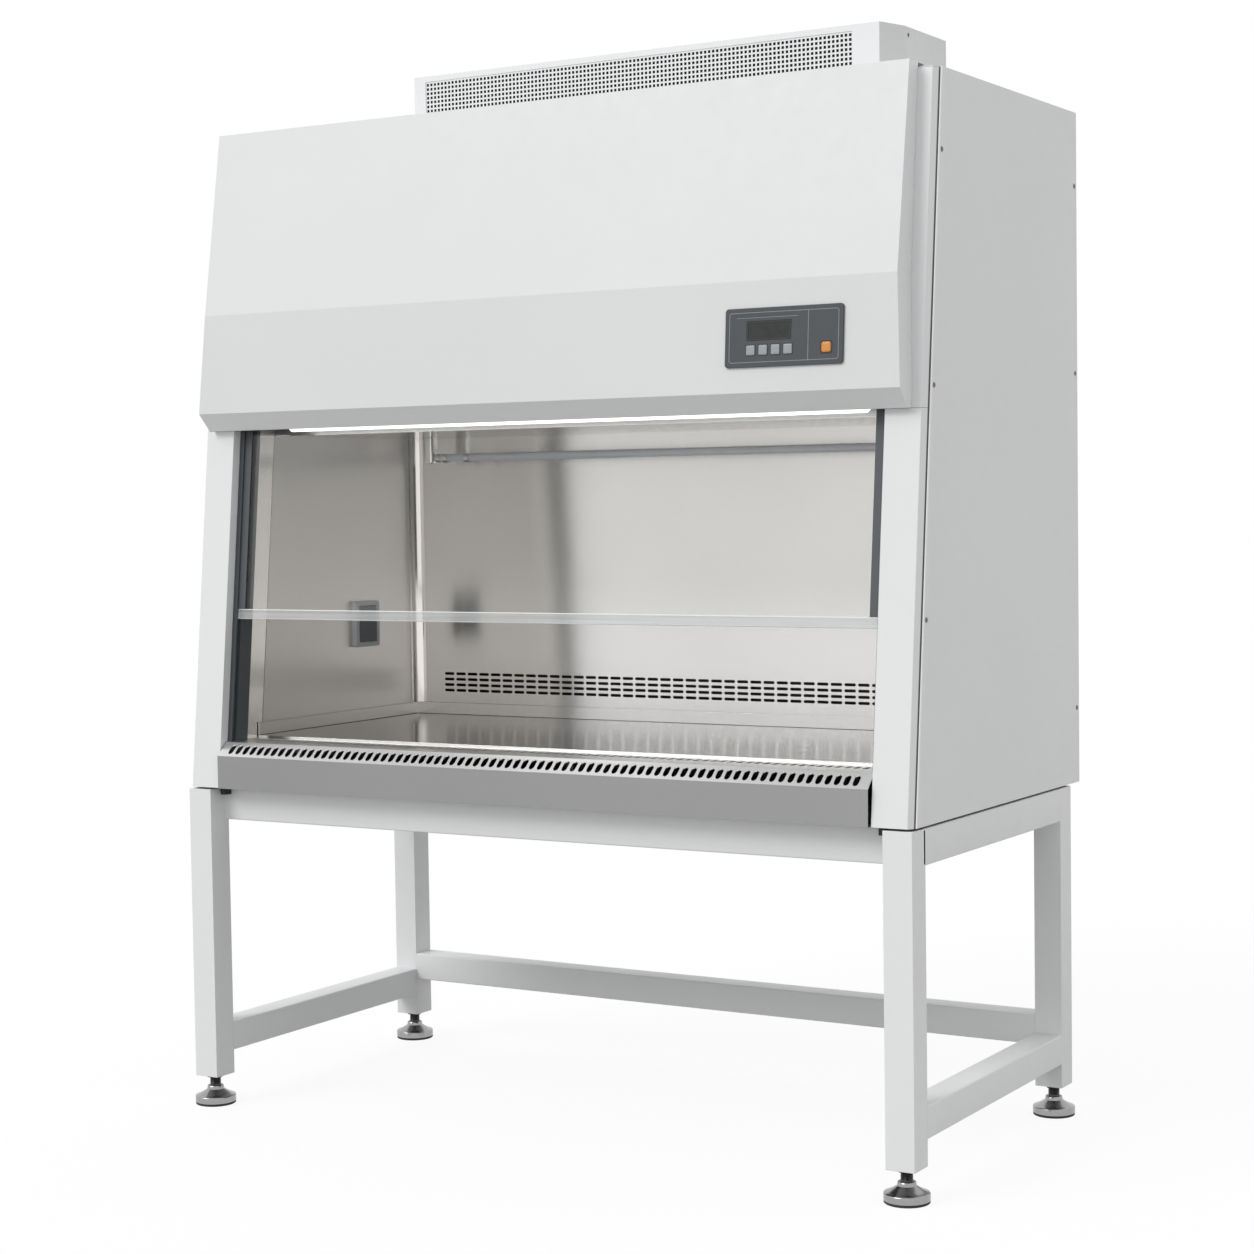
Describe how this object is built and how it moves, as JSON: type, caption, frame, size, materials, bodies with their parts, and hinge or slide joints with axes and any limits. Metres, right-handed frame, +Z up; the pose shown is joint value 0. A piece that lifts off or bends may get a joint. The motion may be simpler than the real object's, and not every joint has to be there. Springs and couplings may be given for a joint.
{
  "type": "biosafety cabinet",
  "caption": "Class II biological safety cabinet with a sloping front, counterbalanced sliding sash, stainless work zone, slotted air grilles and a welded stand on levelling feet.",
  "frame": {"origin": "on the floor, under the middle of the outline", "axes": "+X across to the user's right, +Y from the front to the back, +Z up"},
  "size_m": [1.582, 0.786, 2.056],
  "materials": {
    "white_paint": "semi-gloss white powder coat",
    "shell_paint": "semi-gloss light grey powder coat",
    "stainless": "brushed stainless steel",
    "polished_stainless": "satin stainless steel",
    "steel": "plain machined steel",
    "black_steel": "blackened steel",
    "feet_steel": "turned stainless steel on a rubber disc",
    "rubber": "matt",
    "profile": "matt dark grey anodised",
    "glass": "clear toughened glass",
    "grip": "clear frosted plastic",
    "bezel": "matt charcoal membrane",
    "display": "dark gloss window",
    "box_plastic": "moulded plastic",
    "key_grey": "soft grey key",
    "key_orange": "soft orange key",
    "belt": "ribbed black belt",
    "cast": "painted casting",
    "lamp": "white glowing tube",
    "uv": "pale germicidal tube",
    "socket": "dark moulded plastic",
    "outlet": "light grey moulded plastic",
    "flap": "dark grey moulded plastic",
    "filter": "pleated white medium in a frame",
    "galvanised": "zinc coated sheet",
    "motor": "dark grey motor enamel"
  },
  "bodies": {
    "cabinet": {"legs": "white_paint", "upper_rails": "white_paint", "lower_bars": "white_paint", "base_pads": "rubber", "foot_lock_nuts": "black_steel", "side_panel_left": "shell_paint", "side_panel_right": "shell_paint", "back_panel": "shell_paint", "top_panel": "shell_paint", "base_pan": "galvanised", "panel_screws": "polished_stainless", "pillar_left": "white_paint", "pillar_right": "white_paint", "upper_cheeks": "white_paint", "hood": "white_paint", "control_bezel": "bezel", "display_window": "display", "control_box": "box_plastic", "front_grille": "stainless", "work_tray": "stainless", "tray_posts": "steel", "side_liners": "stainless", "rear_liner": "stainless", "ceiling_diffuser": "polished_stainless", "sash_guides": "profile", "lift_belts": "belt", "drive_brackets": "black_steel", "lamp_canopy": "polished_stainless", "lamp_tube": "lamp", "uv_tube": "uv", "lamp_sockets": "socket", "outlet_frame": "outlet", "supply_filter": "filter", "exhaust_filter": "filter", "plenum_divider": "galvanised", "blower_housing": "galvanised", "blower_motor": "motor", "exhaust_box": "white_paint", "exhaust_grille": "white_paint", "power_inlet": "socket"},
    "sash": {"sash_glass": "glass", "sash_grip_rail": "grip", "sash_edge_profiles": "profile"},
    "counterweight_left": {"counterweight_left": "cast"},
    "counterweight_right": {"counterweight_right": "cast"},
    "lift_shaft": {"lift_shaft": "steel"},
    "idler_left": {"idler_left": "steel"},
    "idler_right": {"idler_right": "steel"},
    "blower_wheel": {"blower_wheel": "steel"},
    "outlet_flap": {"outlet_flap": "flap"},
    "key_1": {"key_1": "key_grey"},
    "key_2": {"key_2": "key_grey"},
    "key_3": {"key_3": "key_grey"},
    "key_4": {"key_4": "key_grey"},
    "power_key": {"power_key": "key_orange"},
    "foot_front_left": {"foot_front_left": "feet_steel"},
    "foot_front_right": {"foot_front_right": "feet_steel"},
    "foot_rear_left": {"foot_rear_left": "feet_steel"},
    "foot_rear_right": {"foot_rear_right": "feet_steel"}
  },
  "joints": [
    {"name": "sash_slide", "type": "slide", "parent": "cabinet", "child": "sash", "axis": [0, 0.1005, 0.9949], "range_m": [-0.236, 0.25]},
    {"name": "counterweight_left_slide", "type": "slide", "parent": "cabinet", "child": "counterweight_left", "axis": [0, 0.1005, 0.9949], "range_m": [-0.25, 0.236]},
    {"name": "counterweight_right_slide", "type": "slide", "parent": "cabinet", "child": "counterweight_right", "axis": [0, 0.1005, 0.9949], "range_m": [-0.25, 0.236]},
    {"name": "lift_shaft_turn", "type": "hinge", "parent": "cabinet", "child": "lift_shaft", "pos_m": [0, -0.19988, 1.86], "axis": [1, 0, 0], "range_deg": [-532, 502]},
    {"name": "idler_left_turn", "type": "hinge", "parent": "cabinet", "child": "idler_left", "pos_m": [-0.735, -0.30911, 0.779], "axis": [1, 0, 0], "range_deg": [-532, 502]},
    {"name": "idler_right_turn", "type": "hinge", "parent": "cabinet", "child": "idler_right", "pos_m": [0.735, -0.30911, 0.779], "axis": [1, 0, 0], "range_deg": [-532, 502]},
    {"name": "blower_wheel_turn", "type": "hinge", "parent": "cabinet", "child": "blower_wheel", "pos_m": [0, 0.059, 1.6381], "axis": [1, 0, 0], "continuous": true},
    {"name": "outlet_flap_turn", "type": "hinge", "parent": "cabinet", "child": "outlet_flap", "pos_m": [-0.691, 0.097, 0.968], "axis": [0, -1, 0], "range_deg": [0, 100], "stiffness_Nm_per_rad": 0.03, "springref_deg": -20.05},
    {"name": "key_1_press", "type": "slide", "parent": "cabinet", "child": "key_1", "axis": [0, 0.9974, -0.0722], "range_m": [0, 0.001], "stiffness_N_per_m": 300, "springref_m": -0.001},
    {"name": "key_2_press", "type": "slide", "parent": "cabinet", "child": "key_2", "axis": [0, 0.9974, -0.0722], "range_m": [0, 0.001], "stiffness_N_per_m": 300, "springref_m": -0.001},
    {"name": "key_3_press", "type": "slide", "parent": "cabinet", "child": "key_3", "axis": [0, 0.9974, -0.0722], "range_m": [0, 0.001], "stiffness_N_per_m": 300, "springref_m": -0.001},
    {"name": "key_4_press", "type": "slide", "parent": "cabinet", "child": "key_4", "axis": [0, 0.9974, -0.0722], "range_m": [0, 0.001], "stiffness_N_per_m": 300, "springref_m": -0.001},
    {"name": "power_key_press", "type": "slide", "parent": "cabinet", "child": "power_key", "axis": [0, 0.9974, -0.0722], "range_m": [0, 0.001], "stiffness_N_per_m": 300, "springref_m": -0.001},
    {"name": "foot_front_left_screw", "type": "slide", "parent": "cabinet", "child": "foot_front_left", "axis": [0, 0, -1], "range_m": [0, 0.025]},
    {"name": "foot_front_right_screw", "type": "slide", "parent": "cabinet", "child": "foot_front_right", "axis": [0, 0, -1], "range_m": [0, 0.025]},
    {"name": "foot_rear_left_screw", "type": "slide", "parent": "cabinet", "child": "foot_rear_left", "axis": [0, 0, -1], "range_m": [0, 0.025]},
    {"name": "foot_rear_right_screw", "type": "slide", "parent": "cabinet", "child": "foot_rear_right", "axis": [0, 0, -1], "range_m": [0, 0.025]}
  ],
  "couplings": [
    {"joint": "counterweight_left_slide", "follows": "sash_slide", "ratio": -1},
    {"joint": "counterweight_right_slide", "follows": "sash_slide", "ratio": -1},
    {"joint": "lift_shaft_turn", "follows": "sash_slide", "rad_per_m": -37.037},
    {"joint": "idler_left_turn", "follows": "sash_slide", "rad_per_m": -37.037},
    {"joint": "idler_right_turn", "follows": "sash_slide", "rad_per_m": -37.037}
  ]
}
